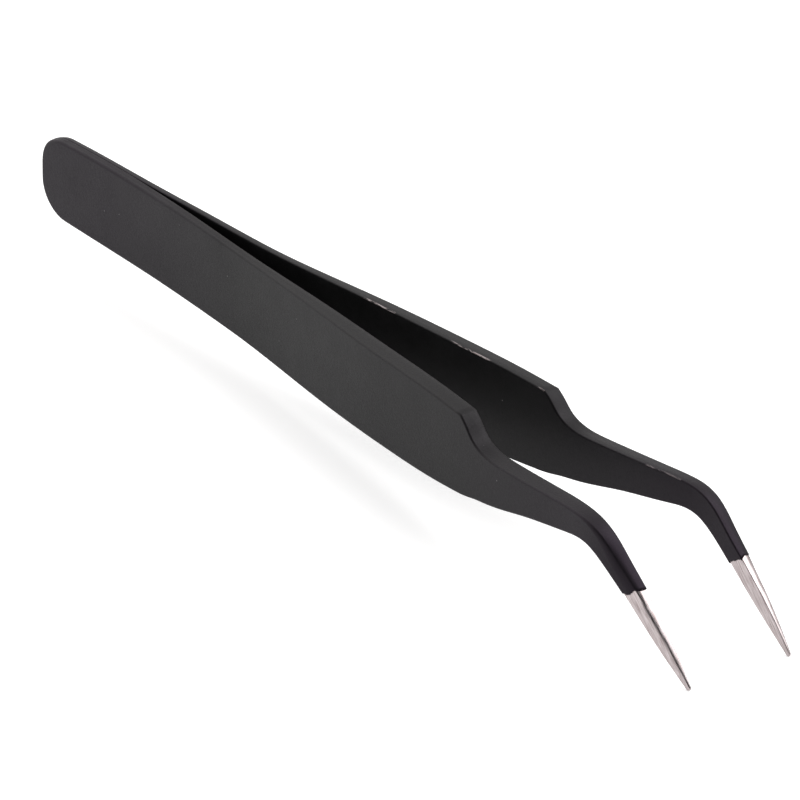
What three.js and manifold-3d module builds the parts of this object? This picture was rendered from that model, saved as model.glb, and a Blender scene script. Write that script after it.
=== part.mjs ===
// Curved fine-point tweezers.
//
// Two thin spring-steel blades lie back to back at the tail, where two spot welds hold them together.
// They part in front of the welds, swell into a wide grip, step down over a sharp shoulder to a slender
// neck, and bend down into fine points. A black coating covers all but the points.
//
// Millimetres. The origin is the middle of the tail's end, on the plane where the two blades meet.
// +X runs from the tail to the points, +Y towards the left blade, +Z across the blades, and the points
// bend down to -Z. Each blade has its own body in front of the flexure, the line where its spring bends.

import * as THREE from "three";
import { mergeVertices } from "three/addons/utils/BufferGeometryUtils.js";
import Module from "manifold-3d";

// ---- driving dimensions ------------------------------------------------------------------------

const LENGTH = 118; // tail end to the points
const WELD_END = 9.2; // the blades lie together up to here
const HALF_GAPE = 5.5; // from a point's inner face to the centre plane, at rest
const GAPE_EASE = 2.67; // how early the blades spread: 3 spreads them evenly into parallel points
const BOW = 0.25; // the blades bow apart a little more round the bend
const BOW_PLACE = 105.5;
const BOW_REACH = 4;

const SPRING_THICKNESS = 1; // coated blade, from the tail to SPRING_END
const GRIP_THICKNESS = 1.8; // coated blade, from GRIP_START to the shoulder
const POINT_THICKNESS = 0.4; // the point's own thickness, counted as if it were coated
const SPRING_END = 40;
const GRIP_START = 70;
const TAPER_POWER = 4; // beyond the shoulder the blade thins slowly at first, then fast

const COAT = 0.08; // thickness of the coating
const CLEARANCE = 0.02; // between the coating and the steel
const CONTACT = 0.02; // from each steel face to the centre plane, in the weld zone
const STEEL_INSET = COAT + CLEARANCE;

const FLEXURE = 30; // where each blade's spring bends, as one line
const SLIT = 0.3; // width of the cut there

const EDGE_SLOPE = 0.08; // the top and bottom edges slope towards the outer face, as a gradient
const OUTER_ROUND = 0.25; // radius along the outer edges
const INNER_ROUND = 0.12; // radius along the inner edges
const ROUND_STEPS = 3;

const WELD_RADIUS = 1.5;
const WELD_DEPTH = 0.25; // how far a spot weld reaches into each blade
const WELD_PLACES = { rear_weld: 4, front_weld: 7.5 };

// The blade's outline from the side, at its coated surface: x and z of the top edge, then of the
// bottom edge. Both edges are smooth curves through these stations.
const TAIL_RADIUS = 5; // length of the rounded tail end
const TAIL_FLAT = 0.7; // half the height of the flat at its very end
const TAIL_SQUARE_TOP = 2.4; // superellipse power of the upper corner; 2 is a plain ellipse
const TAIL_SQUARE_BOTTOM = 2;
const TAIL_STEPS = 6;

const BODY = [
  [5, 4.75, 5, -4.65], // end of the rounded tail
  [WELD_END, 4.85, WELD_END, -4.7],
  [20, 4.85, 20, -4.7],
  [30, 4.75, 30, -4.65], // flexure
  [43, 4.5, 43, -4.7], // waist
  [57, 4.65, 57, -4.85], // swell of the grip
  [70, 4.65, 70, -4.65],
  [80, 4.55, 80, -4.25],
  [84.3, 4.35, 84.3, -3.85], // shoulder
];
const BODY_STEPS = [1, 3, 3, 3, 3, 2, 2, 1];

const NECK = [
  [84.3, 4.35, 84.3, -3.85], // shoulder
  [85.3, 3.6, 85.6, -3.65],
  [86.3, 2.7, 87, -3.35],
  [88, 2, 88.8, -3.05],
  [91, 1.85, 91.5, -2.5], // hollow behind the neck
  [95, 2.05, 95, -1.65],
  [99, 2.3, 98.7, -0.9],
  [102.3, 2.45, 101.5, -0.35], // start of the bend
  [104.5, 2.3, 103.1, -0.1],
  [106.4, 1.65, 104.6, -0.2],
  [108.7, 0, 106.75, -1.15], // end of the bend
  [111.15, -1.85, 109.55, -3], // end of the coating
];
const NECK_STEPS = [2, 2, 2, 1, 1, 1, 2, 2, 2, 2, 2];

const POINT = [
  [111.15, -1.85, 109.55, -3], // end of the coating
  [114.75, -4.9, 113.55, -5.95],
  [117.8, -8, 117.3, -8.5], // the point begins to round
  [LENGTH, -8.35, 117.7, -8.65], // blunt end
];
const POINT_STEPS = [2, 3, 1];

const BLACK = { color: 0x2b2a2c, roughness: 0.62, metalness: 0.1 };
const STEEL = { color: 0xb9b2ad, roughness: 0.32, metalness: 1 };

// ---- solids --------------------------------------------------------------------------------------

const wasm = await Module();
wasm.setup();

// A closed geometry as a solid that can be joined and cut.
function toSolid(geometry) {
  const bare = geometry.clone();
  bare.deleteAttribute("normal");
  bare.deleteAttribute("uv");
  const merged = mergeVertices(bare, 1e-5);
  const vertProperties = new Float32Array(merged.getAttribute("position").array);
  const triVerts = new Uint32Array(merged.getIndex().array);
  return new wasm.Manifold(new wasm.Mesh({ numProp: 3, vertProperties, triVerts }));
}

// A solid's surface as a flat-shaded geometry.
function toGeometry(solid) {
  const { vertProperties, triVerts } = solid.getMesh();
  const indexed = new THREE.BufferGeometry();
  indexed.setAttribute("position", new THREE.BufferAttribute(vertProperties, 3));
  indexed.setIndex(new THREE.BufferAttribute(triVerts, 1));
  const geometry = indexed.toNonIndexed();
  geometry.computeVertexNormals();
  return geometry;
}

// ---- the blade's shape ---------------------------------------------------------------------------

// Points along smooth curves through a list of stations, as [top point, bottom point] pairs.
function alongStations(stations, steps) {
  const top = new THREE.SplineCurve(stations.map(([x, z]) => new THREE.Vector2(x, z)));
  const bottom = new THREE.SplineCurve(stations.map(([, , x, z]) => new THREE.Vector2(x, z)));
  const spans = stations.length - 1;
  const pairs = [];
  steps.forEach((count, span) => {
    for (let i = 1; i <= count; i++) {
      const t = (span + i / count) / spans;
      pairs.push([top.getPoint(t), bottom.getPoint(t)]);
    }
  });
  return pairs;
}

// The rounded tail end: a small flat with a quarter of a superellipse above and below.
function roundTail() {
  const [, topZ, , bottomZ] = BODY[0];
  const quarter = (angle, start, end, power) =>
    new THREE.Vector2(
      TAIL_RADIUS * (1 - Math.cos(angle) ** (2 / power)),
      start + (end - start) * Math.sin(angle) ** (2 / power),
    );
  const pairs = [];
  for (let i = 0; i <= TAIL_STEPS; i++) {
    const angle = (Math.PI / 2) * (i / TAIL_STEPS);
    pairs.push([
      quarter(angle, TAIL_FLAT, topZ, TAIL_SQUARE_TOP),
      quarter(angle, -TAIL_FLAT, bottomZ, TAIL_SQUARE_BOTTOM),
    ]);
  }
  return pairs;
}

const OUTLINE = [
  ...roundTail(),
  ...alongStations(BODY, BODY_STEPS),
  ...alongStations(NECK, NECK_STEPS),
  ...alongStations(POINT, POINT_STEPS),
];

// One edge of the outline moved inwards by a distance. The top edge has its inside below it.
function insetEdge(which, distance) {
  const edge = OUTLINE.map((pair) => pair[which]);
  const turn = which === 0 ? 1 : -1;
  return edge.map((point, i) => {
    const before = edge[Math.max(i - 1, 0)];
    const after = edge[Math.min(i + 1, edge.length - 1)];
    const along = after.clone().sub(before).normalize();
    return new THREE.Vector2(along.y, -along.x).multiplyScalar(turn * distance).add(point);
  });
}

// The coated inner face's distance from the centre plane.
function innerFace(x) {
  const u = THREE.MathUtils.clamp((x - WELD_END) / (LENGTH - WELD_END), 0, 1);
  const bow = BOW * Math.exp(-(((x - BOW_PLACE) / BOW_REACH) ** 2));
  return CONTACT - STEEL_INSET + HALF_GAPE * u * u * (GAPE_EASE - (GAPE_EASE - 1) * u) + bow;
}

function thickness(x) {
  const { smoothstep, lerp, clamp } = THREE.MathUtils;
  const shoulder = BODY.at(-1)[0];
  const beyond = clamp((x - shoulder) / (LENGTH - shoulder), 0, 1);
  const grip = lerp(SPRING_THICKNESS, GRIP_THICKNESS, smoothstep(x, SPRING_END, GRIP_START));
  return grip - (GRIP_THICKNESS - POINT_THICKNESS) * beyond ** TAPER_POWER;
}

// The blade's section at one station, as a rounded rectangle. Its points go round the section once,
// from the inner face over the top edge to the outer face and back under the bottom edge.
function sectionLoop(top, bottom, inset, side) {
  const height = top.distanceTo(bottom);
  const across = top.clone().sub(bottom).divideScalar(height);
  const depth = thickness((top.x + bottom.x) / 2);
  const most = Math.min(height, depth - 2 * inset) / 2.2;
  const inner = Math.min(INNER_ROUND - inset / 2, most);
  const outer = Math.min(OUTER_ROUND - inset, most);
  const fall = EDGE_SLOPE * depth;
  const corners = [
    [inner, height, inset, -1, 1, 1],
    [outer, height - fall, depth - inset, -1, -1, ROUND_STEPS],
    [outer, fall, depth - inset, 1, -1, ROUND_STEPS],
    [inner, 0, inset, 1, 1, 1],
  ];
  const loop = [];
  corners.forEach(([radius, up, out, upTurn, outTurn, steps], corner) => {
    for (let i = 0; i <= steps; i++) {
      // Even corners turn from the face into the edge, odd ones from the edge into the face.
      const turned = ((corner % 2 === 0 ? i : steps - i) / steps) * (Math.PI / 2);
      const s = up + upTurn * radius * (1 - Math.sin(turned));
      const t = out + outTurn * radius * (1 - Math.cos(turned));
      const place = across.clone().multiplyScalar(s).add(bottom);
      loop.push(new THREE.Vector3(place.x, side * (innerFace(place.x) + t), place.y));
    }
  });
  return loop;
}

// Section loops of a blade between two places along X, cut square at each place that is given.
function bladeLoops(side, inset, from, to) {
  const tops = insetEdge(0, inset);
  const bottoms = insetEdge(1, inset);
  const cutAt = (x, edge) => {
    const i = edge.findIndex((point) => point.x > x);
    const share = (x - edge[i - 1].x) / (edge[i].x - edge[i - 1].x);
    return edge[i - 1].clone().lerp(edge[i], share);
  };
  const inside = (i) => tops[i].x >= from && bottoms[i].x >= from && tops[i].x <= to;
  const pairs = tops.map((top, i) => [top, bottoms[i]]).filter((pair, i) => inside(i));
  if (from > 0) pairs.unshift([cutAt(from, tops), cutAt(from, bottoms)]);
  if (to < FLEXURE) pairs.push([cutAt(to, tops), cutAt(to, bottoms)]);
  return pairs.map(([top, bottom]) => sectionLoop(top, bottom, inset, side));
}

// Triangles over a run of loops, with flat ends, or hollow inside when inner loops are given.
function loftGeometry(loops, side, innerLoops = null) {
  const positions = [];
  const triangle = (a, b, c) => {
    const order = side > 0 ? [a, c, b] : [a, b, c];
    order.forEach((p) => positions.push(p.x, p.y, p.z));
  };
  const quad = (a, b, c, d) => {
    triangle(a, b, c);
    triangle(a, c, d);
  };
  const wall = (rows, outwards) => {
    for (let i = 0; i + 1 < rows.length; i++) {
      rows[i].forEach((point, j) => {
        const k = (j + 1) % rows[i].length;
        if (outwards) quad(point, rows[i][k], rows[i + 1][k], rows[i + 1][j]);
        else quad(point, rows[i + 1][j], rows[i + 1][k], rows[i][k]);
      });
    }
  };
  // A flat end is a strip of quads between the loop's two halves.
  const flatEnd = (loop, outwards) => {
    const n = loop.length;
    for (let j = 0; j < n / 2 - 1; j++) {
      const corners = [loop[j], loop[n - 1 - j], loop[n - 2 - j], loop[j + 1]];
      quad(...(outwards ? corners : corners.reverse()));
    }
  };
  const rimEnd = (outer, inner, outwards) => {
    outer.forEach((point, j) => {
      const k = (j + 1) % outer.length;
      if (outwards) quad(point, inner[j], inner[k], outer[k]);
      else quad(point, outer[k], inner[k], inner[j]);
    });
  };
  wall(loops, true);
  if (innerLoops) {
    wall(innerLoops, false);
    rimEnd(loops[0], innerLoops[0], true);
    rimEnd(loops.at(-1), innerLoops.at(-1), false);
  } else {
    flatEnd(loops[0], true);
    flatEnd(loops.at(-1), false);
  }
  const geometry = new THREE.BufferGeometry();
  geometry.setAttribute("position", new THREE.Float32BufferAttribute(positions, 3));
  geometry.computeVertexNormals();
  return geometry;
}

// ---- sub-parts -----------------------------------------------------------------------------------

function namedMesh(name, geometry, look) {
  const mesh = new THREE.Mesh(geometry, new THREE.MeshStandardMaterial(look));
  mesh.name = name;
  return mesh;
}

// A spot weld's nugget, a short disc whose axis crosses the two blades.
function weldGeometry(x, grow = 0) {
  const depth = CONTACT + WELD_DEPTH + grow;
  return new THREE.CylinderGeometry(WELD_RADIUS + grow, WELD_RADIUS + grow, 2 * depth, 24).translate(x, 0, 0);
}

// The part of a blade behind the flexure, with a pocket for each weld's nugget.
function bladeTail(side) {
  const loops = bladeLoops(side, STEEL_INSET, 0, FLEXURE - SLIT / 2);
  let solid = toSolid(loftGeometry(loops, side));
  for (const x of Object.values(WELD_PLACES)) {
    solid = solid.subtract(toSolid(weldGeometry(x, CLEARANCE)));
  }
  return toGeometry(solid);
}

// The part of a blade in front of the flexure, to its bare point.
function bladeFront(side) {
  return loftGeometry(bladeLoops(side, STEEL_INSET, FLEXURE + SLIT / 2, LENGTH), side);
}

// The coating behind the flexure: one skin round both blades, which bridges the crotch between them.
function tailCoating() {
  const ends = [0, FLEXURE - SLIT / 2];
  const solidOf = (side, inset) => toSolid(loftGeometry(bladeLoops(side, inset, ...ends), side));
  const outside = solidOf(1, 0).add(solidOf(-1, 0));
  return toGeometry(outside.subtract(solidOf(1, COAT)).subtract(solidOf(-1, COAT)));
}

// The coating in front of the flexure, a sleeve that ends short of the point.
function frontCoating(side) {
  const ends = [FLEXURE + SLIT / 2, NECK.at(-1)[0]];
  return loftGeometry(bladeLoops(side, 0, ...ends), side, bladeLoops(side, COAT, ...ends));
}

function tailGroup() {
  const group = new THREE.Group();
  group.add(namedMesh("left_blade_tail", bladeTail(1), STEEL));
  group.add(namedMesh("right_blade_tail", bladeTail(-1), STEEL));
  for (const [name, x] of Object.entries(WELD_PLACES)) {
    group.add(namedMesh(name, weldGeometry(x), STEEL));
  }
  group.add(namedMesh("tail_coating", tailCoating(), BLACK));
  return group;
}

function armGroup(name, side) {
  const group = new THREE.Group();
  group.add(namedMesh(`${name}_blade`, bladeFront(side), STEEL));
  group.add(namedMesh(`${name}_coating`, frontCoating(side), BLACK));
  return group;
}

const tweezers = new THREE.Group();
tweezers.add(tailGroup(), armGroup("left", 1), armGroup("right", -1));

export default tweezers;
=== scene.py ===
import math

import bmesh
import bpy
import numpy as np
from mathutils import Matrix, Vector


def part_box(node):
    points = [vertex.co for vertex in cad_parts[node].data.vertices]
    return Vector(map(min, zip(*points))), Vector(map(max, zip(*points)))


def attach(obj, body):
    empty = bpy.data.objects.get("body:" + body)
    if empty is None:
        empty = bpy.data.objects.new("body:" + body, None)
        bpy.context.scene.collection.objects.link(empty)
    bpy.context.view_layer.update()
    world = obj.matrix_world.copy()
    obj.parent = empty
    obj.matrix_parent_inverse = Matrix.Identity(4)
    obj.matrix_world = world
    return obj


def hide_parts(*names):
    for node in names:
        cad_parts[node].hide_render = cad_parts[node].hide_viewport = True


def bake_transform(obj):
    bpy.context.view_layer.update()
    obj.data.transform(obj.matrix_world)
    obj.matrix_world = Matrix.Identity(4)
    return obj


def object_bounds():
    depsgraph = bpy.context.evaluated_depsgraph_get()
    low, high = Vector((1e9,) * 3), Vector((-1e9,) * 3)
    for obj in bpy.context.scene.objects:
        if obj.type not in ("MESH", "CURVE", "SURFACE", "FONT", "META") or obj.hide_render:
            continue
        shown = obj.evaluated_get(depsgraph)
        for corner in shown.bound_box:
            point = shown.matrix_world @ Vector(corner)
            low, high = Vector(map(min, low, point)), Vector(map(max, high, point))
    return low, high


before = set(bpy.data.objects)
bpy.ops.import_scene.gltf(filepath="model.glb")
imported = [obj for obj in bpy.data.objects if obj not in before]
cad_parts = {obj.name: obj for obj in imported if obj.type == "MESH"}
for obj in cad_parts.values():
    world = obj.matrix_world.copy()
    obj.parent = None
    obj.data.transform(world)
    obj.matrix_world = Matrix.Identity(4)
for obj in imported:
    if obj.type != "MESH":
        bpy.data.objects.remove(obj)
CAD_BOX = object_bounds()
MM = 0.001


# ---- measures taken from the frame ---------------------------------------------------------------

def box_mm(node):
    """The lowest and highest corner of a CAD node, in millimetres."""
    low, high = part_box(node)
    return np.array(low) / MM, np.array(high) / MM


TAIL_BOX = box_mm("tail_coating")
STEEL_BOX = box_mm("left_blade_tail")

STEEL_INSET = round(float(STEEL_BOX[0][0] - TAIL_BOX[0][0]), 2)  # steel below the coated surface
SKIN = 0.8 * STEEL_INSET  # thickness of the coating
CONTACT = float(STEEL_BOX[0][1])  # from the steel to the centre plane at the welds

# Thickness through a coated blade: thin along the spring, full at the grip, tapering to the point.
SPRING_THICKNESS = 1.0
GRIP_THICKNESS = 1.8
POINT_THICKNESS = 0.4
SPRING_END, GRIP_START = 40.0, 70.0
TAPER_POWER = 4

# The gape: each inner face leaves the centre plane at the welds, and bows out a little at the bend.
LENGTH = 118.0
WELD_END = 9.2
HALF_GAPE = 5.5
GAPE_EASE = 2.67
BOW, BOW_PLACE, BOW_REACH = 0.25, 105.5, 4.0
FILM = 0.004  # the two skins stay this far from the centre plane
FILM_SHARE = 0.2  # a surface inside them stays farther from it by this share of its inset

# The side outline of a coated blade: x and z of its top edge, then of its bottom edge.
TAIL_RADIUS = 5.0
TAIL_FLAT = 0.7
TAIL_TOP_POWER, TAIL_BOTTOM_POWER = 2.4, 2.0
TAIL_STEPS = 18
BODY = [  # from the tail's end to the shoulder
    (5, 4.75, 5, -4.65),
    (9.2, 4.85, 9.2, -4.7),
    (20, 4.85, 20, -4.7),
    (30, 4.75, 30, -4.65),
    (43, 4.5, 43, -4.7),
    (57, 4.65, 57, -4.85),
    (70, 4.65, 70, -4.65),
    (80, 4.55, 80, -4.25),
    (84.3, 4.35, 84.3, -3.85),
]
NECK = [  # from the shoulder, round the bend, to the end of the coating
    (84.3, 4.35, 84.3, -3.85),
    (85.3, 3.6, 85.6, -3.65),
    (86.3, 2.7, 87, -3.35),
    (88, 2, 88.8, -3.05),
    (91, 1.85, 91.5, -2.5),
    (95, 2.05, 95, -1.65),
    (99, 2.3, 98.7, -0.9),
    (102.3, 2.45, 101.5, -0.35),
    (104.5, 2.3, 103.1, -0.1),
    (106.4, 1.65, 104.6, -0.2),
    (108.7, 0, 106.75, -1.15),
    (111.15, -1.85, 109.55, -3),
]
POINT = [  # the bare steel
    (111.15, -1.85, 109.55, -3),
    (114.75, -4.9, 113.55, -5.95),
    (117.85, -8.05, 117.35, -8.55),
]
BODY_SPACING, NECK_SPACING, POINT_SPACING = 0.9, 0.3, 0.3
END_STEPS = 7

# The top and bottom edges slope a little towards the outer face, and their corners are rounded. The outer
# corners are soft at the tail and crisp on the grip. The upper one opens out round the bend into a broad
# ridge, and narrows where the steel is bare. A ridge's depths, through the blade and down its face, are
# shares of the thickness and the height.
EDGE_SLOPE = 0.08
INNER_ROUND = 0.12
TAIL_ROUND, OUTER_ROUND = 0.5, 0.2
TAIL_ROUND_FROM, TAIL_ROUND_TO = 8.0, 38.0
BEND_ROUND_FROM, BEND_ROUND_TO = 102.2, 110.2
BARE_ROUND_FROM, BARE_ROUND_TO = 110.2, 111.8
COATED_RIDGE = (0.15, 0.48)
BARE_RIDGE = (0.16, 0.22)
RIDGE_BLUNTNESS = 0.45  # 0 is a plain ellipse, 1 a flat bevel
TIP_CLOSED = 0.15  # a point less high than this has no ridge, so that its end closes


# ---- curves --------------------------------------------------------------------------------------

def natural_spline(points):
    """A smooth curve through points, as a function of the station number."""
    points = np.array(points, float)
    steps = np.linalg.norm(np.diff(points, axis=0), axis=1)
    knots = np.concatenate([[0.0], np.cumsum(steps)])
    count = len(points)
    system = np.eye(count)
    target = np.zeros_like(points)
    slopes = np.diff(points, axis=0) / steps[:, None]
    for i in range(1, count - 1):
        system[i, i - 1 : i + 2] = steps[i - 1], 2 * (steps[i - 1] + steps[i]), steps[i]
        target[i] = 6 * (slopes[i] - slopes[i - 1])
    bends = np.linalg.solve(system, target)

    def curve(stations):
        where = np.interp(stations, np.arange(count), knots)
        i = np.clip(np.searchsorted(knots, where, side="right") - 1, 0, count - 2)
        h = steps[i][:, None]
        a = (knots[i + 1] - where)[:, None] / h
        b = 1 - a
        cubic = ((a**3 - a) * bends[i] + (b**3 - b) * bends[i + 1]) * h * h / 6
        return a * points[i] + b * points[i + 1] + cubic

    return curve


def along(stations, spacing):
    """Top and bottom edge points along a run of stations, about one spacing apart."""
    table = np.array(stations, float)
    top, bottom = natural_spline(table[:, :2]), natural_spline(table[:, 2:])
    places = [0.0]
    for span in range(len(table) - 1):
        length = np.linalg.norm(table[span + 1, :2] - table[span, :2])
        pieces = max(1, round(length / spacing))
        places.extend(span + (np.arange(pieces) + 1) / pieces)
    places = np.array(places)
    return top(places), bottom(places)


def tail_end():
    """The rounded tail, from its rearmost point to the start of the body."""
    angle = np.linspace(0, math.pi / 2, TAIL_STEPS + 1)

    def quarter(start, end, power):
        x = TAIL_RADIUS * (1 - np.cos(angle) ** (2 / power))
        return np.stack([x, start + (end - start) * np.sin(angle) ** (2 / power)], 1)

    top = quarter(TAIL_FLAT, BODY[0][1], TAIL_TOP_POWER)
    bottom = quarter(-TAIL_FLAT, BODY[0][3], TAIL_BOTTOM_POWER)
    start = np.zeros((1, 2))  # the middle of the flat, where the two edges meet
    return np.concatenate([start, top]), np.concatenate([start, bottom])


def point_end(top, bottom):
    """The blunt end of a point, two quarter ellipses that meet on the point's axis."""
    middle, half = (top[-1] + bottom[-1]) / 2, (top[-1] - bottom[-1]) / 2
    ahead = np.array([-half[1], half[0]])
    ahead *= -1 if ahead[0] < 0 else 1
    angle = np.linspace(0, math.pi / 2, END_STEPS + 1)[1:, None]
    return [middle + side * half * np.cos(angle) + ahead * np.sin(angle) for side in (1, -1)]


def outline():
    """The top and bottom edges of a coated blade, and the number of stations that are coated."""
    tail = tail_end()
    body, neck, point = along(BODY, BODY_SPACING), along(NECK, NECK_SPACING), along(POINT, POINT_SPACING)
    end = point_end(*point)
    edges = [np.concatenate([tail[k], body[k][1:], neck[k][1:], point[k][1:], end[k]]) for k in (0, 1)]
    coated = len(tail[0]) + len(body[0]) - 1 + len(neck[0]) - 1
    return edges[0], edges[1], coated


TOP, BOTTOM, COATED = outline()


def inward(edge, turn):
    """Unit normals of an edge, pointing into the blade, evened out so that an inset never folds."""
    line = np.gradient(edge, axis=0)
    line /= np.linalg.norm(line, axis=1)[:, None]
    normal = turn * np.stack([line[:, 1], -line[:, 0]], 1)
    for _ in range(2):
        middle = normal[1:-1] * 2 + normal[:-2] + normal[2:]
        normal[1:-1] = middle / np.linalg.norm(middle, axis=1)[:, None]
    return normal


TOP_IN, BOTTOM_IN = inward(TOP, 1), inward(BOTTOM, -1)
for ends in (0, -1):  # both edges meet here, and share one normal along the blade
    shared = TOP_IN[ends] + BOTTOM_IN[ends]
    TOP_IN[ends] = BOTTOM_IN[ends] = shared / np.linalg.norm(shared)


# ---- the blade's section -------------------------------------------------------------------------

def ease(x, start, end):
    t = np.clip((x - start) / (end - start), 0, 1)
    return t * t * (3 - 2 * t)


def inner_face(x):
    """The coated inner face's distance from the centre plane."""
    u = np.clip((x - WELD_END) / (LENGTH - WELD_END), 0, 1)
    bow = BOW * np.exp(-(((x - BOW_PLACE) / BOW_REACH) ** 2))
    return CONTACT - STEEL_INSET + HALF_GAPE * u * u * (GAPE_EASE - (GAPE_EASE - 1) * u) + bow


def thickness(x):
    shoulder = BODY[-1][0]
    beyond = np.clip((x - shoulder) / (LENGTH - shoulder), 0, 1)
    grip = SPRING_THICKNESS + (GRIP_THICKNESS - SPRING_THICKNESS) * ease(x, SPRING_END, GRIP_START)
    return grip - (GRIP_THICKNESS - POINT_THICKNESS) * beyond**TAPER_POWER


def rounding(x, height, inset, upper):
    """The corners of an edge: the inner one's radius, then the outer one's depth through the blade, depth
    down its face, and the power of its curve."""
    ridge = ease(x, BEND_ROUND_FROM, BEND_ROUND_TO) * ease(height, 0, TIP_CLOSED)
    bend = ridge if upper else np.zeros_like(x)
    bare = ease(x, BARE_ROUND_FROM, BARE_ROUND_TO)
    plain = TAIL_ROUND + (OUTER_ROUND - TAIL_ROUND) * ease(x, TAIL_ROUND_FROM, TAIL_ROUND_TO)
    crisp = np.minimum(plain, thickness(x) / 3) - inset

    def depth(size, coated_share, bare_share):
        coated_ridge, bare_ridge = coated_share * size - inset, bare_share * (size - 2 * inset)
        return crisp + (coated_ridge + (bare_ridge - coated_ridge) * bare - crisp) * bend

    through, down = map(depth, (thickness(x), height), COATED_RIDGE, BARE_RIDGE)
    inner = np.minimum(INNER_ROUND, thickness(x) / 3) - inset / 2
    return inner, through, down, 1 + RIDGE_BLUNTNESS * bend


# Where the coating has worn off a blade's inner top edge: x of the middle, half length and depth of each
# stretch, on the left (1) and right (-1) blade.
CHIPPED = {
    1: ((60.3, 4.6, 1.0), (74.0, 5.5, 1.0), (83.6, 1.3, 1.0), (100.4, 4.2, 0.965)),
    -1: ((82.0, 0.6, 1.0),),
}

ARC_INNER, ARC_OUTER, EDGE_FLAT = 3, 8, 2
FACE_COLUMNS = np.array([0.02, 0.06, 0.15, 0.3, 0.5, 0.7, 0.85, 0.94, 0.98])


def section_rings(inset, count):
    """Rings of points round a blade at its first count stations, for a surface inset into the coating.

    A ring runs up the inner face, over the top edge, down the outer face and back under the bottom edge.
    Returns positions in millimetres for the left blade, and 1 for each point on the inner top edge.
    """
    tops, bottoms = TOP[:count], BOTTOM[:count]
    top_in, bottom_in = TOP_IN[:count], BOTTOM_IN[:count]
    middle = (tops[:, 0] + bottoms[:, 0]) / 2
    height = np.linalg.norm(tops - bottoms, axis=1)
    upper, lower = (rounding(middle, height, inset, which) for which in (True, False))
    columns, nearness = [], []

    def add(flat, rise, near):
        """One lengthwise line: its x and z, its rise above the inner face as a function of the thickness,
        and its nearness to the inner top edge."""
        x = flat[:, 0]
        low = np.maximum(inner_face(x) + inset, FILM + FILM_SHARE * inset)
        high = inner_face(x) + thickness(x) - inset
        y = low + rise(high - low)
        columns.append(np.stack([x, y, flat[:, 1]], 1))
        nearness.append(np.full(count, near))

    def edge_profile(edge, normal, corner, forwards):
        """The lines over the inner corner, the flat and the outer corner of an edge, or back again."""
        inner_radius, outer_through, outer_down, power = corner
        steps = []
        for a in np.linspace(0, math.pi / 2, ARC_INNER + 1):
            steps.append(("in", 1 - math.sin(a), 1 - math.cos(a)))
        for k in range(1, EDGE_FLAT):
            steps.append(("flat", 0, k / EDGE_FLAT))
        for a in np.linspace(0, math.pi / 2, ARC_OUTER + 1):
            cos, sin = abs(math.cos(a)), math.sin(a)
            steps.append(("out", 1 - cos**power, 1 - sin**power))
        for kind, aside, up in steps if forwards else steps[::-1]:
            radius = outer_down if kind == "out" else inner_radius
            fall = EDGE_SLOPE * thickness(middle) * {"in": 0, "flat": up, "out": 1}[kind]
            flat = edge + normal * (inset + fall + radius * aside)[:, None]
            if kind == "in":
                add(flat, lambda depth, u=up: inner_radius * u, 1.0 if forwards else 0.0)
            elif kind == "flat":
                add(
                    flat,
                    lambda depth, u=up: inner_radius + (depth - inner_radius - outer_through) * u,
                    0.0,
                )
            else:
                add(flat, lambda depth, u=up: depth - outer_through * u, 0.0)

    def face(below, above, fractions, rise):
        """The lines up or down a face, between its corners."""
        low = bottoms + bottom_in * (inset + below)[:, None]
        high = tops + top_in * (inset + above)[:, None]
        for f in fractions:
            add(low + (high - low) * f, rise, 0.0)

    fall = EDGE_SLOPE * thickness(middle)
    face(lower[0], upper[0], FACE_COLUMNS, lambda depth: 0 * depth)
    edge_profile(tops, top_in, upper, True)
    face(lower[2] + fall, upper[2] + fall, FACE_COLUMNS[::-1], lambda depth: depth)
    edge_profile(bottoms, bottom_in, lower, False)
    return np.stack(columns, 1), np.stack(nearness, 1)


# ---- meshes --------------------------------------------------------------------------------------

def ring_faces(rows, across, start=0, flip=False):
    """Quads between neighbouring rings of a tube, as vertex numbers."""
    faces = []
    for i in range(rows - 1):
        for j in range(across):
            k = (j + 1) % across
            quad = [start + i * across + j, start + i * across + k]
            quad += [start + (i + 1) * across + k, start + (i + 1) * across + j]
            faces.append(quad[::-1] if flip else quad)
    return faces


def build_mesh(name, points, faces, side, values):
    """A smooth mesh object from left-blade points, mirrored for the right blade."""
    rest = points * np.array([1, side, 1])
    if side > 0:
        faces = [face[::-1] for face in faces]
    mesh = bpy.data.meshes.new(name)
    mesh.from_pydata((rest * MM).tolist(), [], faces)
    for key, value in values.items():
        attribute = mesh.attributes.new(key, "FLOAT", "POINT")
        attribute.data.foreach_set("value", np.ascontiguousarray(value, dtype=np.float32))
    work = bmesh.new()
    work.from_mesh(mesh)
    bmesh.ops.remove_doubles(work, verts=work.verts, dist=1e-7)
    bmesh.ops.dissolve_degenerate(work, dist=1e-8, edges=work.edges)
    bmesh.ops.recalc_face_normals(work, faces=work.faces)
    work.to_mesh(mesh)
    work.free()
    mesh.shade_smooth()
    place = mesh.attributes.new("rest", "FLOAT_VECTOR", "POINT")
    coordinates = np.zeros(len(mesh.vertices) * 3, np.float32)
    mesh.vertices.foreach_get("co", coordinates)
    place.data.foreach_set("vector", coordinates / MM)
    piece = bpy.data.objects.new(name, mesh)
    bpy.context.scene.collection.objects.link(piece)
    return piece


NOTCH_LEAST, NOTCH_OUTER = 0.05, 0.27  # millimetres that the coating's end is pulled back
NOTCH_REACH = 6  # rings that move with it


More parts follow.
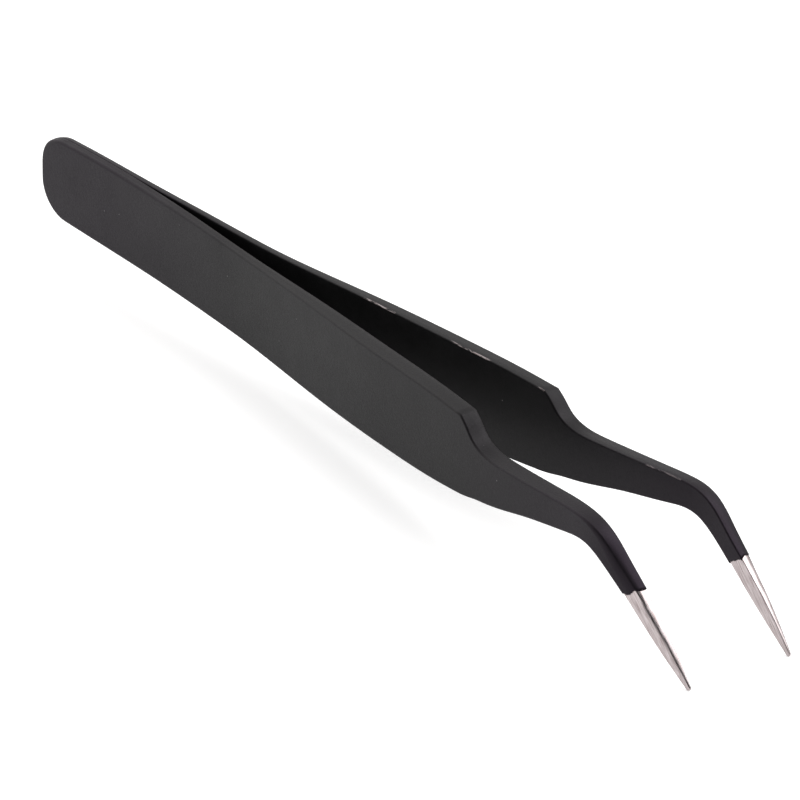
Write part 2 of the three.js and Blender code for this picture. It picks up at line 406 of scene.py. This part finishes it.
def ragged(rings, side):
    """Pulls the coating's last rings back by uneven amounts, and further on the outer side."""
    count = rings.shape[1]
    turn = np.arange(count) / count * 2 * math.pi
    across = rings[-1, :, 1] - rings[-1, :, 1].min()
    notch = NOTCH_LEAST + NOTCH_OUTER * across / across.max()
    # Waves of four lengths round the section, out of step on the two blades.
    notch += 0.07 * np.sin(3 * turn + side) + 0.05 * np.sin(7 * turn + 2.1 * side)
    notch += 0.08 * np.abs(np.sin(11 * turn + 0.7)) + 0.05 * np.sin(23 * turn - side)
    for back in range(NOTCH_REACH):
        share = (1 - back / NOTCH_REACH) ** 2
        step = rings[-1 - back] - rings[-2 - back]
        rings[-1 - back] = rings[-1 - back] - step * (notch * share / NECK_SPACING)[:, None]
    return rings


def skin(side, name):
    """The black coating of one blade: a thin shell, closed at the tail and open at the point."""
    outer, near = section_rings(0.0, COATED)
    inner, _ = section_rings(SKIN, COATED)
    outer, inner = ragged(outer, side), ragged(inner, side)
    across = outer.shape[1]
    points = np.concatenate([outer.reshape(-1, 3), inner.reshape(-1, 3)])
    shift = COATED * across
    faces = ring_faces(COATED, across) + ring_faces(COATED, across, shift, True)
    last = (COATED - 1) * across
    for j in range(across):
        k = (j + 1) % across
        faces.append([last + j, last + k, shift + last + k, shift + last + j])
    chipped = np.zeros(len(points))
    for middle, half, depth in CHIPPED[side]:
        away = np.abs(points[:shift, 0] - middle)
        chipped[:shift] += depth * near.reshape(-1) * ease(away, half, 0.5 * half)
    return build_mesh(name, points, faces, side, {"chipped": chipped})


def strip(side, name):
    """One steel blade, closed at the tail and at the point."""
    rings, _ = section_rings(STEEL_INSET, len(TOP))
    across = rings.shape[1]
    faces = ring_faces(len(TOP), across)
    return build_mesh(name, rings.reshape(-1, 3), faces, side, {})


NUGGET_STEPS, NUGGET_AROUND = 8, 40


def nugget(node, name):
    """A spot weld: a lens of fused metal with a slightly uneven rim."""
    low, high = box_mm(node)
    centre, radius, depth = (low + high) / 2, (high[0] - low[0]) / 2, (high[1] - low[1]) / 2
    points = []
    for i in range(NUGGET_STEPS + 1):
        tilt = math.pi * i / NUGGET_STEPS
        for j in range(NUGGET_AROUND):
            turn = 2 * math.pi * j / NUGGET_AROUND
            out = radius * math.sin(tilt) * (1 - 0.03 * (1 + math.sin(5 * turn)))
            points.append([out * math.cos(turn), -depth * math.cos(tilt), out * math.sin(turn)])
    faces = ring_faces(NUGGET_STEPS + 1, NUGGET_AROUND)
    return build_mesh(name, np.array(points) + centre, faces, 1, {})


# ---- materials -----------------------------------------------------------------------------------

class Nodes:
    """A short way to write a material's nodes."""

    def __init__(self, name):
        self.material = bpy.data.materials.new(name)
        self.material.use_nodes = True
        self.tree = self.material.node_tree
        self.tree.nodes.clear()

    def add(self, kind, **settings):
        node = self.tree.nodes.new("ShaderNode" + kind)
        for key, value in settings.items():
            setattr(node, key, value)
        return node

    def link(self, source, target):
        self.tree.links.new(source, target)

    def attribute(self, name):
        return self.add("Attribute", attribute_name=name)

    def noise(self, where, scale, detail=2.0, roughness=0.5):
        node = self.add("TexNoise")
        node.inputs["Scale"].default_value = scale
        node.inputs["Detail"].default_value = detail
        node.inputs["Roughness"].default_value = roughness
        self.link(where, node.inputs["Vector"])
        return node.outputs["Fac"]

    def stretch(self, where, turn, scale):
        """The place turned about Y, then scaled."""
        turned = self.add("Mapping")
        turned.inputs["Rotation"].default_value = (0.0, turn, 0.0)
        self.link(where, turned.inputs["Vector"])
        scaled = self.add("Mapping")
        scaled.inputs["Scale"].default_value = scale
        self.link(turned.outputs["Vector"], scaled.inputs["Vector"])
        return scaled.outputs["Vector"]

    def remap(self, value, low, high, to_low=0.0, to_high=1.0):
        node = self.add("MapRange")
        self.link(value, node.inputs["Value"])
        for key, number in zip(("From Min", "From Max", "To Min", "To Max"), (low, high, to_low, to_high)):
            node.inputs[key].default_value = number
        return node.outputs["Result"]

    def math(self, operation, a, b=0.0):
        node = self.add("Math", operation=operation)
        for socket, value in zip(node.inputs, (a, b)):
            if isinstance(value, (int, float)):
                socket.default_value = value
            else:
                self.link(value, socket)
        return node.outputs["Value"]

    def mix_colour(self, factor, a, b):
        node = self.add("Mix", data_type="RGBA")
        self.link(factor, node.inputs["Factor"])
        for socket, value in ((node.inputs[6], a), (node.inputs[7], b)):
            if isinstance(value, tuple):
                socket.default_value = (*value, 1.0)
            else:
                self.link(value, socket)
        return node.outputs[2]

    def bump(self, height, strength, distance, normal=None):
        node = self.add("Bump")
        node.inputs["Strength"].default_value = strength
        node.inputs["Distance"].default_value = distance
        self.link(height, node.inputs["Height"])
        if normal is not None:
            self.link(normal, node.inputs["Normal"])
        return node.outputs["Normal"]

    def surface(self, shader):
        self.link(shader, self.add("OutputMaterial").inputs["Surface"])
        return self.material


STEEL_DARK, STEEL_LIGHT = (0.28, 0.232, 0.23), (0.57, 0.513, 0.517)
POINT_SLOPE = math.radians(-46)  # the way the bare points, and their grinding lines, run


def steel_shader(n, place, grain_turn):
    """Ground stainless steel with fine lines along the blade."""
    lines = n.noise(n.stretch(place, grain_turn, (0.5, 8.0, 8.0)), 1.0, 4.0, 0.6)
    lines = n.remap(lines, 0.33, 0.67)
    broad = n.noise(place, 0.8, 3.0)
    shader = n.add("BsdfPrincipled")
    shader.inputs["Metallic"].default_value = 1.0
    n.link(n.mix_colour(lines, STEEL_DARK, STEEL_LIGHT), shader.inputs["Base Color"])
    rough = n.math("ADD", n.remap(lines, 0.0, 1.0, 0.22, 0.34), n.remap(broad, 0.3, 0.7, 0.0, 0.08))
    n.link(rough, shader.inputs["Roughness"])
    n.link(n.bump(lines, 0.3, 0.01 * MM), shader.inputs["Normal"])
    return shader.outputs["BSDF"]


def steel_material():
    n = Nodes("ground_steel")
    place = n.attribute("rest").outputs["Vector"]
    return n.surface(steel_shader(n, place, POINT_SLOPE))


def weld_material():
    n = Nodes("weld_metal")
    place = n.attribute("rest").outputs["Vector"]
    shader = n.add("BsdfPrincipled")
    shader.inputs["Metallic"].default_value = 1.0
    blotch = n.noise(place, 2.5, 4.0)
    n.link(n.mix_colour(blotch, (0.32, 0.27, 0.22), (0.5, 0.48, 0.47)), shader.inputs["Base Color"])
    n.link(n.remap(blotch, 0.3, 0.7, 0.4, 0.6), shader.inputs["Roughness"])
    n.link(n.bump(n.noise(place, 12.0, 3.0), 0.4, 0.02 * MM), shader.inputs["Normal"])
    return n.surface(shader.outputs["BSDF"])


# The coating's reflections turn violet away from the grip's middle, and strengthen from the tail forwards.
GRIP_MIDDLE = 62.0
TINT_FROM, TINT_TO = 20.0, 48.0
GRIP_TINT, END_TINT = (1.0, 0.97, 1.0), (0.98, 0.72, 1.05)
SHEEN_FROM, SHEEN_TO = 15.0, 80.0
TAIL_SHEEN, GRIP_SHEEN = 0.168, 0.22
COAT_DARK, COAT_LIGHT = (0.0050, 0.0046, 0.0051), (0.0075, 0.0071, 0.0076)


def coating_material():
    """Matte black epoxy: a faint orange peel, uneven gloss, dust, and bare metal where edges are worn."""
    n = Nodes("black_epoxy")
    place = n.attribute("rest").outputs["Vector"]
    cloud = n.noise(place, 0.22, 4.0, 0.6)
    grain = n.noise(place, 7.0, 3.0, 0.6)
    peel = n.noise(place, 2.2, 2.0)
    black = n.mix_colour(n.remap(cloud, 0.35, 0.65), COAT_DARK, COAT_LIGHT)

    specks = n.add("TexVoronoi", feature="F1")
    specks.inputs["Scale"].default_value = 0.42
    n.link(place, specks.inputs["Vector"])
    dust = n.remap(specks.outputs["Distance"], 0.035, 0.02)
    black = n.mix_colour(n.math("MULTIPLY", dust, 0.35), black, (0.30, 0.29, 0.29))

    coat = n.add("BsdfPrincipled")
    coat.inputs["IOR"].default_value = 1.4
    axes = n.add("SeparateXYZ")
    n.link(place, axes.inputs["Vector"])
    x = axes.outputs["X"]
    off_grip = n.math("ABSOLUTE", n.math("SUBTRACT", x, GRIP_MIDDLE))
    tint = n.mix_colour(n.remap(off_grip, TINT_FROM, TINT_TO), GRIP_TINT, END_TINT)
    n.link(tint, coat.inputs["Specular Tint"])
    sheen = n.remap(x, SHEEN_FROM, SHEEN_TO, TAIL_SHEEN, GRIP_SHEEN)
    n.link(sheen, coat.inputs["Specular IOR Level"])
    n.link(black, coat.inputs["Base Color"])
    rough = n.math("ADD", n.remap(cloud, 0.3, 0.7, 0.40, 0.47), n.remap(grain, 0.3, 0.7, -0.06, 0.07))
    n.link(rough, coat.inputs["Roughness"])
    normal = n.bump(grain, 0.45, 0.02 * MM)
    n.link(n.bump(peel, 0.25, 0.03 * MM, normal), coat.inputs["Normal"])

    chips = n.remap(n.noise(n.stretch(place, 0.0, (0.9, 6.0, 6.0)), 1.0, 4.0, 0.7), 0.44, 0.58)
    edge = n.remap(n.attribute("chipped").outputs["Fac"], 0.94, 1.0, 0.0, 0.5)
    worn = n.math("MULTIPLY", edge, chips)
    mix = n.add("MixShader")
    n.link(worn, mix.inputs["Fac"])
    n.link(coat.outputs["BSDF"], mix.inputs[1])
    n.link(steel_shader(n, place, 0.0), mix.inputs[2])
    return n.surface(mix.outputs["Shader"])


FLOOR_GLOW = 0.62
FLOOR_GREYS = (0.60, 0.60, 0.60), (0.62, 0.62, 0.62)


def floor_material():
    """A white table, faintly lit from below."""
    n = Nodes("pale_floor")
    where = n.add("TexCoord").outputs["Object"]
    shader = n.add("BsdfPrincipled")
    n.link(n.mix_colour(n.noise(where, 3.0), *FLOOR_GREYS), shader.inputs["Base Color"])
    shader.inputs["Roughness"].default_value = 0.9
    shader.inputs["Specular IOR Level"].default_value = 0.1
    shader.inputs["Emission Color"].default_value = (1.0, 1.0, 1.0, 1.0)
    shader.inputs["Emission Strength"].default_value = FLOOR_GLOW
    return n.surface(shader.outputs["BSDF"])


# ---- the object ----------------------------------------------------------------------------------


def finish_piece(piece, material):
    piece.data.materials.append(material)
    return piece


def bend_with(piece):
    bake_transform(piece)


def make_tweezers():
    steel, weld, coating = steel_material(), weld_material(), coating_material()
    for word, side in (("left", 1), ("right", -1)):
        blade = finish_piece(strip(side, f"{word}_spring_blade"), steel)
        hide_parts(f"{word}_blade", f"{word}_blade_tail")
        bend_with(blade)
        cover = finish_piece(skin(side, f"{word}_black_coating"), coating)
        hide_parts(f"{word}_coating", "tail_coating")
        bend_with(cover)
    for node in ("rear_weld", "front_weld"):
        spot = finish_piece(nugget(node, f"{node}_nugget"), weld)
        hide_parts(node)
        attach(spot, "tail")


make_tweezers()


# ---- studio --------------------------------------------------------------------------------------

FLOOR_HALF = 6.0
CAMERA_AZIMUTH, CAMERA_ELEVATION, CAMERA_ROLL = 53.77, 24.26, 1.88  # degrees
CAMERA_DISTANCE = 0.3194
CAMERA_LENS = 149.7
CAMERA_AIM = Vector((0.06722, 0.0, -0.00226))

# The world's brightness is zenith plus side light, dimmed in the shade. Each is a smooth step on the cosine
# of the angle from a direction: the direction, the step's two cosines, and the values at them.
ZENITH = (0, 90), 0.5, 0.95, 0.9, 1.4
SIDE_LIGHT = (-65, 32), 0.65, 0.9, 0.0, 1.2
SHADE = (44, 23), 0.0, 0.7, 1.0, 0.06
WORLD_COLOUR = (1.0, 0.985, 0.98, 1.0)
SOFTBOX_AZIMUTH, SOFTBOX_ELEVATION = 155, 56
SOFTBOX_DISTANCE, SOFTBOX_SIZE, SOFTBOX_POWER = 0.9, 0.84, 6.0


def direction(azimuth, elevation):
    """Towards an azimuth, counted from straight in front (-Y) to the right (+X), and an elevation."""
    a, e = math.radians(azimuth), math.radians(elevation)
    return Vector((math.sin(a) * math.cos(e), -math.cos(a) * math.cos(e), math.sin(e)))


def make_floor():
    mesh = bpy.data.meshes.new("floor")
    z = CAD_BOX[0].z
    corners = [(x * FLOOR_HALF, y * FLOOR_HALF, z) for x, y in ((-1, -1), (1, -1), (1, 1), (-1, 1))]
    mesh.from_pydata(corners, [], [(0, 1, 2, 3)])
    mesh.materials.append(floor_material())
    floor = bpy.data.objects.new("floor", mesh)
    bpy.context.scene.collection.objects.link(floor)


def make_world():
    """A white studio, dark on the camera's side and bright overhead and on the left."""
    world = bpy.data.worlds.new("studio")
    world.use_nodes = True
    tree = world.node_tree
    tree.nodes.clear()
    place = tree.nodes.new("ShaderNodeTexCoord")

    def facing(towards, low, high, to_low, to_high):
        dot = tree.nodes.new("ShaderNodeVectorMath")
        dot.operation = "DOT_PRODUCT"
        dot.inputs[1].default_value = direction(*towards)
        tree.links.new(place.outputs["Generated"], dot.inputs[0])
        scale = tree.nodes.new("ShaderNodeMapRange")
        scale.interpolation_type = "SMOOTHSTEP"
        numbers = (low, high, to_low, to_high)
        for key, number in zip(("From Min", "From Max", "To Min", "To Max"), numbers):
            scale.inputs[key].default_value = number
        tree.links.new(dot.outputs["Value"], scale.inputs["Value"])
        return scale.outputs["Result"]

    def combine(operation, a, b):
        node = tree.nodes.new("ShaderNodeMath")
        node.operation = operation
        tree.links.new(a, node.inputs[0])
        tree.links.new(b, node.inputs[1])
        return node.outputs["Value"]

    back = tree.nodes.new("ShaderNodeBackground")
    back.inputs["Color"].default_value = WORLD_COLOUR
    strength = combine("MULTIPLY", combine("ADD", facing(*ZENITH), facing(*SIDE_LIGHT)), facing(*SHADE))
    tree.links.new(strength, back.inputs["Strength"])
    out = tree.nodes.new("ShaderNodeOutputWorld")
    tree.links.new(back.outputs["Background"], out.inputs["Surface"])
    bpy.context.scene.world = world


def make_softbox():
    light = bpy.data.lights.new("overhead", "AREA")
    light.shape = "DISK"
    light.size = SOFTBOX_SIZE
    light.energy = SOFTBOX_POWER
    lamp = bpy.data.objects.new("overhead", light)
    towards = direction(SOFTBOX_AZIMUTH, SOFTBOX_ELEVATION)
    lamp.location = CAMERA_AIM + towards * SOFTBOX_DISTANCE
    lamp.rotation_euler = towards.to_track_quat("Z", "Y").to_euler()
    bpy.context.scene.collection.objects.link(lamp)


def make_camera():
    camera = bpy.data.cameras.new("camera")
    camera.lens = CAMERA_LENS
    camera.clip_start = 0.01
    eye = bpy.data.objects.new("camera", camera)
    back = direction(CAMERA_AZIMUTH, CAMERA_ELEVATION)
    level = (-back).cross(Vector((0, 0, 1))).normalized()
    above = level.cross(-back)
    c, s = math.cos(math.radians(CAMERA_ROLL)), math.sin(math.radians(CAMERA_ROLL))
    right, up = level * c + above * s, above * c - level * s
    eye.matrix_world = Matrix.Translation(CAMERA_AIM + back * CAMERA_DISTANCE) @ Matrix(
        (right, up, back)
    ).transposed().to_4x4()
    bpy.context.scene.collection.objects.link(eye)
    bpy.context.scene.camera = eye


make_floor()
make_world()
make_softbox()
make_camera()
bpy.context.scene.view_settings.view_transform = "Standard"
